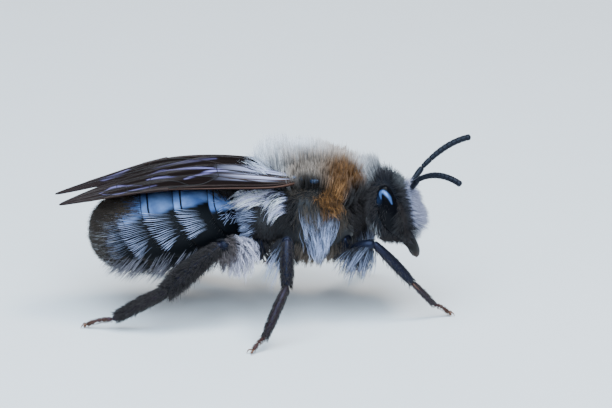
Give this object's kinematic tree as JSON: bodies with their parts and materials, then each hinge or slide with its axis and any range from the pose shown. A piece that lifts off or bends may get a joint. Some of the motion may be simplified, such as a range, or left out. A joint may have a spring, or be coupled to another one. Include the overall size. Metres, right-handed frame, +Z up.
{
  "type": "bee",
  "caption": "Life-size still model of a furry mining bee standing on six feet, with folded wings and raised antennae.",
  "frame": {"origin": "centre of the bounding box in plan, on the floor the feet stand on", "axes": "+X the way the bee faces, +Y its left side, +Z up"},
  "size_m": [0.0172, 0.0116, 0.0074],
  "materials": {
    "face_hair": "fine pale and dark hair over black cuticle",
    "body_hair": "dense soft grey-white hair with rust at the front",
    "cuticle": "glossy blue-black shell with thin white hair",
    "eye": "smooth glossy black",
    "wing": "smoky translucent membrane with dark veins",
    "antenna": "satin black rings",
    "mandible": "glossy black with a red-brown tip",
    "leg": "satin black with pale hair",
    "pollen_brush": "dense dark brown hair",
    "foot": "satin red-brown"
  },
  "bodies": {
    "root": {"abdomen_1": "cuticle", "abdomen_2": "cuticle", "abdomen_3": "cuticle", "abdomen_4": "cuticle", "abdomen_5": "cuticle", "abdomen_6": "cuticle", "antenna_left_flagellum": "antenna", "antenna_left_scape": "antenna", "antenna_right_flagellum": "antenna", "antenna_right_scape": "antenna", "eye_left": "eye", "eye_right": "eye", "forewing_left": "wing", "forewing_right": "wing", "front_left_basitarsus": "leg", "front_left_coxa": "leg", "front_left_femur": "leg", "front_left_tarsus": "foot", "front_left_tibia": "leg", "front_right_basitarsus": "leg", "front_right_coxa": "leg", "front_right_femur": "leg", "front_right_tarsus": "foot", "front_right_tibia": "leg", "head": "face_hair", "hind_left_basitarsus": "pollen_brush", "hind_left_coxa": "leg", "hind_left_femur": "leg", "hind_left_tarsus": "foot", "hind_left_tibia": "pollen_brush", "hind_right_basitarsus": "pollen_brush", "hind_right_coxa": "leg", "hind_right_femur": "leg", "hind_right_tarsus": "foot", "hind_right_tibia": "pollen_brush", "hindwing_left": "wing", "hindwing_right": "wing", "mandible_left": "mandible", "mandible_right": "mandible", "mid_left_basitarsus": "leg", "mid_left_coxa": "leg", "mid_left_femur": "leg", "mid_left_tarsus": "foot", "mid_left_tibia": "leg", "mid_right_basitarsus": "leg", "mid_right_coxa": "leg", "mid_right_femur": "leg", "mid_right_tarsus": "foot", "mid_right_tibia": "leg", "proboscis": "foot", "tegula_left": "cuticle", "tegula_right": "cuticle", "thorax": "body_hair"}
  },
  "joints": []
}
